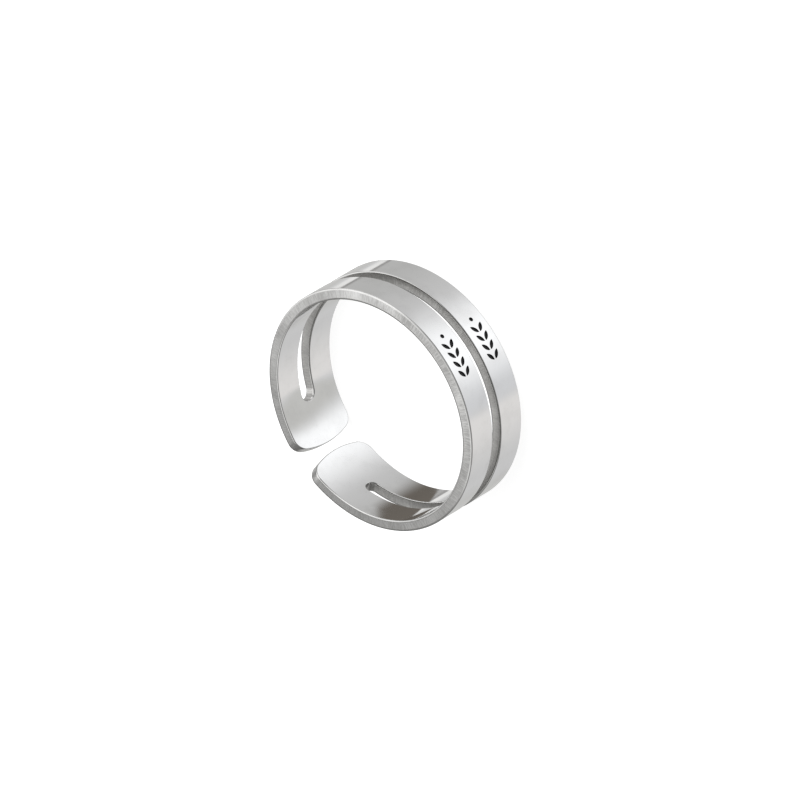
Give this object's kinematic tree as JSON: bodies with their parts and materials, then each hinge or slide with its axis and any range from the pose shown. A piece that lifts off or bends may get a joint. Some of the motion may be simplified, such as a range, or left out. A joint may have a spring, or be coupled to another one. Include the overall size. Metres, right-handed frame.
{
  "type": "open band ring",
  "caption": "Open finger ring of flat steel, lying on its side: a wide band split by a long slot into engraved bars that join in rounded end tabs, with a small gap between the tabs.",
  "frame": {"origin": "middle of the ring's lower side face, on the axis of the finger hole", "axes": "+Z along the ring's axis, upwards as the ring lies on its side; +Y towards the open gap; the engraved front faces -Y"},
  "size_m": [0.02, 0.02, 0.0063],
  "materials": {
    "steel": "stainless steel, mirror polished inside and outside, with satin ground edges and blackened engraving"
  },
  "bodies": {
    "root": {"band": "steel"}
  },
  "joints": []
}
